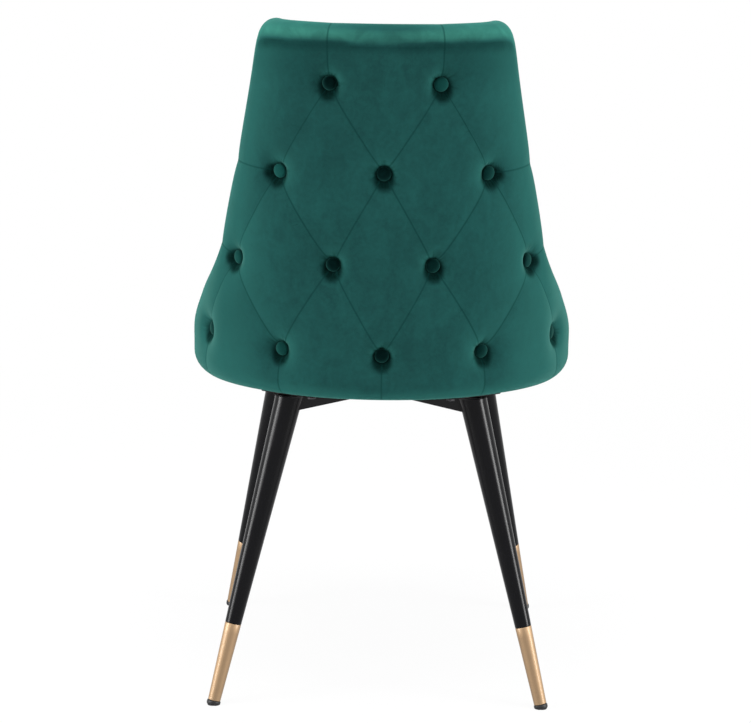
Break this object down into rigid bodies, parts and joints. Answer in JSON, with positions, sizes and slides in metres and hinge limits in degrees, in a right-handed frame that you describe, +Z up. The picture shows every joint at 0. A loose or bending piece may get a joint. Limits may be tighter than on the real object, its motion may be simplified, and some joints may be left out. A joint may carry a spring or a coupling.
{
  "type": "dining chair",
  "caption": "Upholstered dining chair with a deep-buttoned wrap-around back and seat shell on splayed tapered steel legs with metal tip sleeves.",
  "frame": {"origin": "on the floor, at the middle of the chair's bounding box in plan", "axes": "+Z up; the sitter faces -Y, so the outside of the back faces +Y; +X is the sitter's left"},
  "size_m": [0.511, 0.557, 0.887],
  "materials": {
    "velvet": "deep green cut velvet over foam, with a soft nap",
    "seat_velvet": "the same deep green velvet, pulled smooth",
    "plywood": "bent and flat birch plywood, unfinished, hidden by the padding",
    "black_cloth": "black non-woven dust cloth",
    "black_steel": "satin black powder coat on steel",
    "pale_gold": "pale champagne gold plate, softly polished",
    "black_plastic": "moulded black plastic",
    "zinc_steel": "zinc-plated fasteners"
  },
  "bodies": {
    "root": {"button_row1_1": "velvet", "button_row1_2": "velvet", "button_row2_1": "velvet", "button_row2_2": "velvet", "button_row2_3": "velvet", "button_row3_1": "velvet", "button_row3_2": "velvet", "button_row3_3": "velvet", "button_row3_4": "velvet", "button_row4_1": "velvet", "button_row4_2": "velvet", "button_row4_3": "velvet", "button_row4_4": "velvet", "button_row4_5": "velvet", "centre_bolt": "zinc_steel", "cross_bar_lower": "black_steel", "cross_bar_upper": "black_steel", "dust_cover": "black_cloth", "ferrule_front_left": "pale_gold", "ferrule_front_right": "pale_gold", "ferrule_rear_left": "pale_gold", "ferrule_rear_right": "pale_gold", "glide_front_left": "black_plastic", "glide_front_right": "black_plastic", "glide_rear_left": "black_plastic", "glide_rear_right": "black_plastic", "inner_back_pad": "seat_velvet", "leg_bolt_front_left_1": "zinc_steel", "leg_bolt_front_left_2": "zinc_steel", "leg_bolt_front_right_1": "zinc_steel", "leg_bolt_front_right_2": "zinc_steel", "leg_bolt_rear_left_1": "zinc_steel", "leg_bolt_rear_left_2": "zinc_steel", "leg_bolt_rear_right_1": "zinc_steel", "leg_bolt_rear_right_2": "zinc_steel", "leg_front_left": "black_steel", "leg_front_right": "black_steel", "leg_plate_front_left": "black_steel", "leg_plate_front_right": "black_steel", "leg_plate_rear_left": "black_steel", "leg_plate_rear_right": "black_steel", "leg_rear_left": "black_steel", "leg_rear_right": "black_steel", "outer_back_pad": "velvet", "ply_back": "plywood", "ply_screw_1": "zinc_steel", "ply_screw_2": "zinc_steel", "ply_screw_3": "zinc_steel", "ply_screw_4": "zinc_steel", "ply_screw_5": "zinc_steel", "ply_screw_6": "zinc_steel", "seat_board": "plywood", "seat_cushion": "seat_velvet"}
  },
  "joints": []
}
